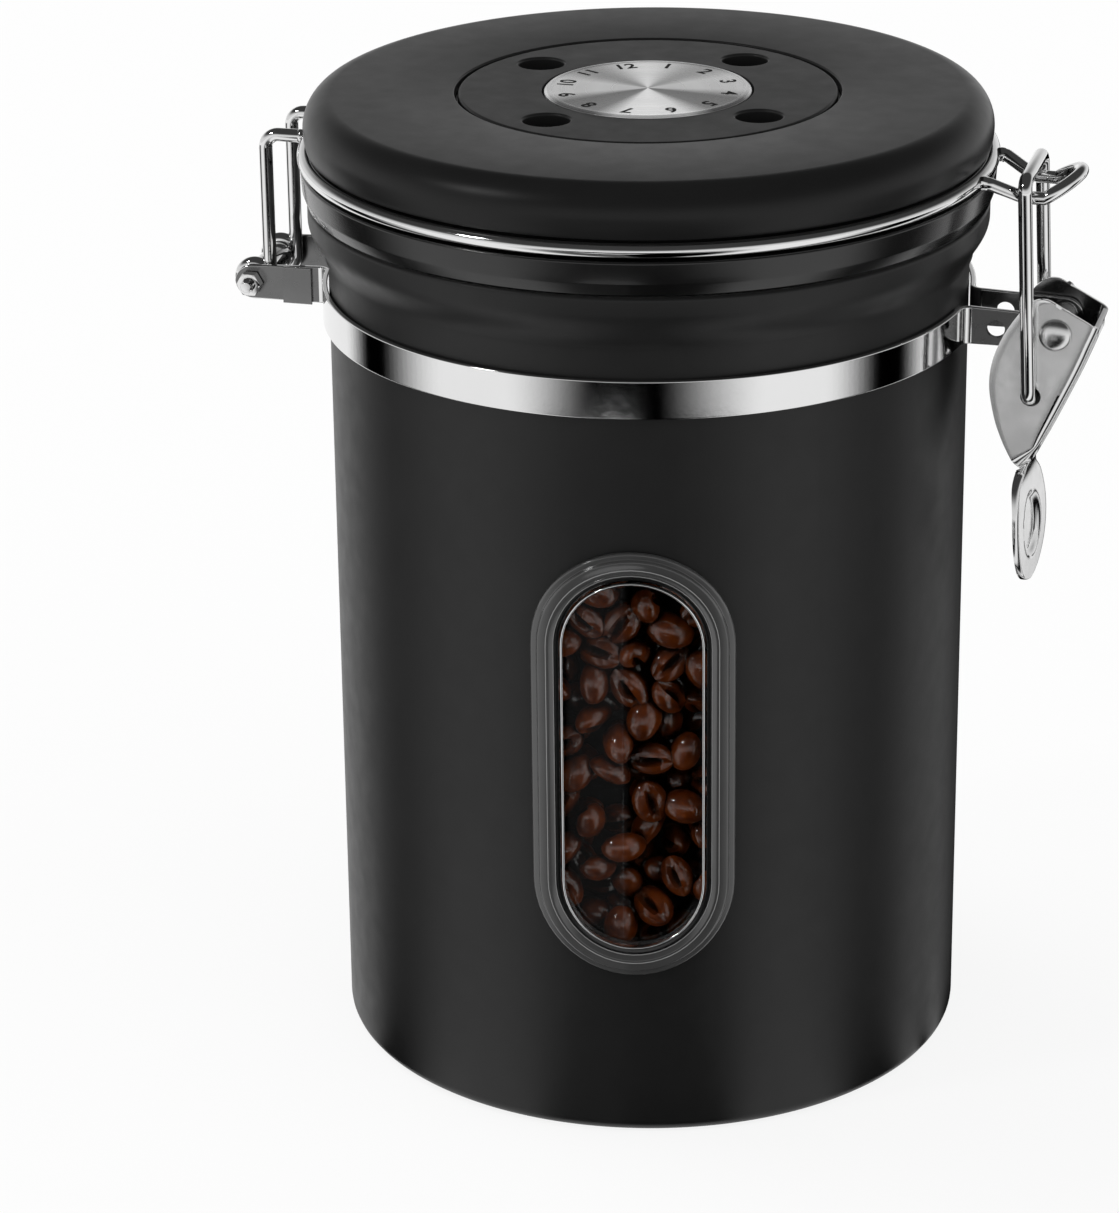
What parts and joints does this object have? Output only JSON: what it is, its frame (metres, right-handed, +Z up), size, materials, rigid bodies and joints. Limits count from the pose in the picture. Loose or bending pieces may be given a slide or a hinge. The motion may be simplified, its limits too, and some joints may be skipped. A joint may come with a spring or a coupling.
{
  "type": "coffee canister",
  "caption": "Cylindrical coffee canister with a wire-hinged lid, an over-centre bail latch, a vented top with a turning date dial, a degassing valve and an oval window in the wall.",
  "frame": {"origin": "centre of the foot ring's circle, on the can's axis, on the surface that the canister stands on", "axes": "+Z up along the can's axis, +X toward the latch, -X toward the lid's hinge, -Y toward the front, where the window faces, turned 11 degrees toward the latch"},
  "size_m": [0.1654, 0.1304, 0.1863],
  "materials": {
    "coated_steel": "matte powder coat",
    "black_plastic": "matte moulded",
    "gloss_black_plastic": "gloss moulded",
    "black_rubber": "matte",
    "clear_silicone": "satin translucent",
    "smoke_plastic": "clear moulded over black",
    "clear_pane": "polished",
    "chrome": "polished",
    "brushed_steel": "radially brushed"
  },
  "bodies": {
    "canister": {"canister_body": "coated_steel", "collar_ring": "coated_steel", "window_bezel": "smoke_plastic", "window_trim": "chrome", "window_pane": "clear_pane", "window_gasket": "black_rubber", "window_retainer": "black_plastic", "band_front": "chrome", "band_rear": "chrome", "hinge_bolt": "chrome", "hinge_nut": "chrome", "hinge_sleeve": "chrome", "latch_rivet": "chrome", "latch_spacer": "chrome"},
    "lid": {"lid_shell": "coated_steel", "lid_base": "gloss_black_plastic", "lid_liner": "gloss_black_plastic", "lid_gasket": "black_rubber", "vent_disc": "black_plastic", "valve_body": "black_plastic", "valve_membrane": "clear_silicone", "valve_cap": "black_plastic", "ring_wire": "chrome", "hinge_wire_front": "chrome", "hinge_wire_rear": "chrome", "catch_wire": "chrome"},
    "dial": {"date_dial": "brushed_steel", "dial_pin": "black_plastic", "dial_clip": "black_plastic"},
    "latch_lever": {"latch_lever": "chrome"},
    "latch_loop": {"latch_loop": "chrome"}
  },
  "joints": [
    {"name": "lid_hinge", "type": "hinge", "parent": "canister", "child": "lid", "pos_m": [-0.0752, 0, 0.1464], "axis": [0, -1, 0], "range_deg": [0, 105]},
    {"name": "dial_spin", "type": "hinge", "parent": "lid", "child": "dial", "pos_m": [0, 0, 0.1852], "axis": [0, 0, 1], "continuous": true},
    {"name": "lever_pivot", "type": "hinge", "parent": "canister", "child": "latch_lever", "pos_m": [0.0782, 0, 0.1464], "axis": [0, -1, 0], "range_deg": [0, 115]},
    {"name": "loop_pivot", "type": "hinge", "parent": "latch_lever", "child": "latch_loop", "pos_m": [0.074, 0, 0.1342], "axis": [0, -1, 0], "range_deg": [-85, 0]}
  ],
  "couplings": [
    {"joint": "loop_pivot", "follows": "lever_pivot", "ratio": -0.73}
  ]
}
